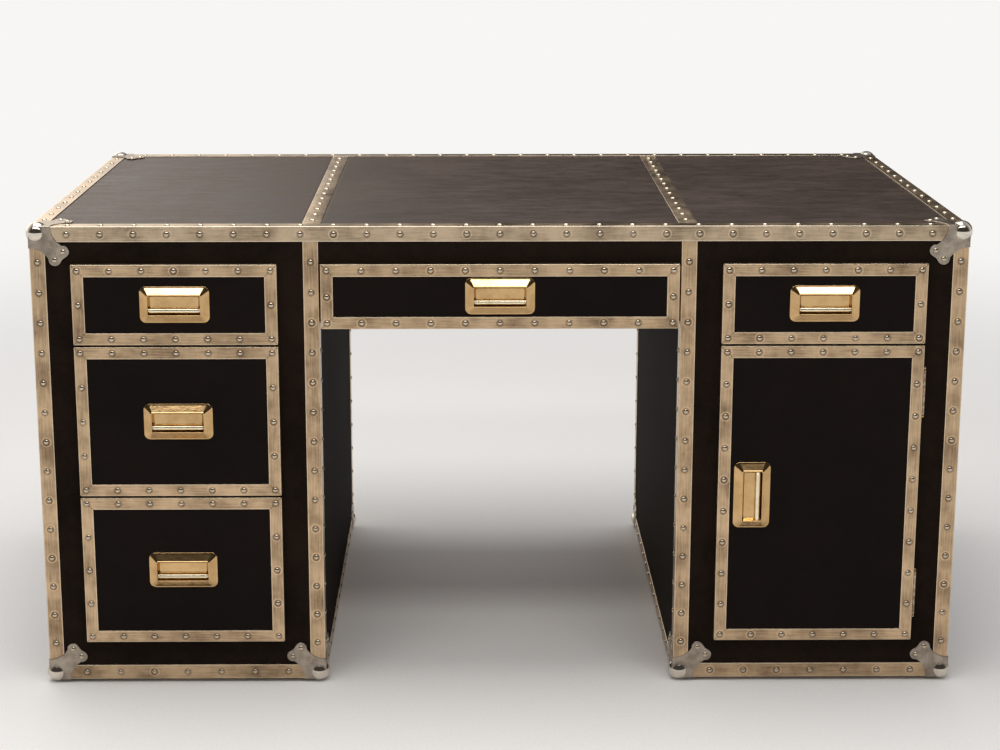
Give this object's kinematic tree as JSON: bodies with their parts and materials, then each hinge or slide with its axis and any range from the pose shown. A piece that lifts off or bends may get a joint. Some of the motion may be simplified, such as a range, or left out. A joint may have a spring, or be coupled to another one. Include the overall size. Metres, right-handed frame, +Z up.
{
  "type": "campaign desk",
  "caption": "Pedestal desk in dark leather with riveted aluminium edging, ball corner fittings, brass recessed pulls, sliding drawers and a hinged cupboard door.",
  "frame": {"origin": "on the floor, under the middle of the desk's bounding box", "axes": "+X to the right of the sitter, -Y towards the sitter, +Z up"},
  "size_m": [1.5126, 0.775, 0.7826],
  "materials": {
    "pull_brass": "polished",
    "front_leather": "fine-grained, soft sheen",
    "desktop_leather": "fine-grained, soft sheen",
    "side_leather": "fine-grained",
    "drawer_wood": "clear lacquer",
    "runner_wood": "waxed",
    "carcass_wood": "stained, clear lacquer",
    "edging_aluminium": "brushed lengthwise",
    "rivet_aluminium": "polished heads",
    "corner_steel": "polished balls, satin plates",
    "hinge_brass": "aged",
    "plate_steel": "zinc plated",
    "catch_plastic": "moulded"
  },
  "bodies": {
    "carcass": {"apron_edging": "edging_aluminium", "back_apron": "side_leather", "centre_rail": "side_leather", "cupboard_ceiling": "carcass_wood", "cupboard_shelf": "carcass_wood", "desktop_board": "carcass_wood", "desktop_leather": "desktop_leather", "desktop_rivets": "rivet_aluminium", "desktop_straps": "edging_aluminium", "door_catch": "catch_plastic", "drawer_runners": "runner_wood", "foot_corner_fittings": "corner_steel", "frame_hinge_leaves": "hinge_brass", "hinge_pins": "hinge_brass", "left_back": "carcass_wood", "left_base": "carcass_wood", "left_base_angles": "edging_aluminium", "left_corner_angles": "edging_aluminium", "left_face_frame": "carcass_wood", "left_inner_side": "carcass_wood", "left_leather": "side_leather", "left_outer_side": "carcass_wood", "left_pedestal_rivets": "rivet_aluminium", "right_back": "carcass_wood", "right_base": "carcass_wood", "right_base_angles": "edging_aluminium", "right_corner_angles": "edging_aluminium", "right_face_frame": "carcass_wood", "right_inner_side": "carcass_wood", "right_leather": "side_leather", "right_outer_side": "carcass_wood", "right_pedestal_rivets": "rivet_aluminium", "shelf_supports": "plate_steel", "top_corner_fittings": "corner_steel", "top_edge_angles": "edging_aluminium"},
    "left_top_drawer": {"left_top_drawer_box": "drawer_wood", "left_top_drawer_edging": "edging_aluminium", "left_top_drawer_front": "front_leather", "left_top_drawer_pull": "pull_brass"},
    "left_middle_drawer": {"left_middle_drawer_box": "drawer_wood", "left_middle_drawer_edging": "edging_aluminium", "left_middle_drawer_front": "front_leather", "left_middle_drawer_pull": "pull_brass"},
    "left_bottom_drawer": {"left_bottom_drawer_box": "drawer_wood", "left_bottom_drawer_edging": "edging_aluminium", "left_bottom_drawer_front": "front_leather", "left_bottom_drawer_pull": "pull_brass"},
    "centre_drawer": {"centre_drawer_box": "drawer_wood", "centre_drawer_edging": "edging_aluminium", "centre_drawer_front": "front_leather", "centre_drawer_pull": "pull_brass"},
    "right_drawer": {"right_drawer_box": "drawer_wood", "right_drawer_edging": "edging_aluminium", "right_drawer_front": "front_leather", "right_drawer_pull": "pull_brass"},
    "door": {"door_edging": "edging_aluminium", "door_hinge_leaves": "hinge_brass", "door_panel": "front_leather", "door_pull": "pull_brass", "strike_plate": "plate_steel"}
  },
  "joints": [
    {"name": "left_top_drawer_slide", "type": "slide", "parent": "carcass", "child": "left_top_drawer", "axis": [0, -1, 0], "range_m": [0, 0.42]},
    {"name": "left_middle_drawer_slide", "type": "slide", "parent": "carcass", "child": "left_middle_drawer", "axis": [0, -1, 0], "range_m": [0, 0.42]},
    {"name": "left_bottom_drawer_slide", "type": "slide", "parent": "carcass", "child": "left_bottom_drawer", "axis": [0, -1, 0], "range_m": [0, 0.42]},
    {"name": "centre_drawer_slide", "type": "slide", "parent": "carcass", "child": "centre_drawer", "axis": [0, -1, 0], "range_m": [0, 0.42]},
    {"name": "right_drawer_slide", "type": "slide", "parent": "carcass", "child": "right_drawer", "axis": [0, -1, 0], "range_m": [0, 0.42]},
    {"name": "door_hinge", "type": "hinge", "parent": "carcass", "child": "door", "pos_m": [0.6873, -0.37025, 0.3288], "axis": [0, 0, 1], "range_deg": [0, 120]}
  ]
}
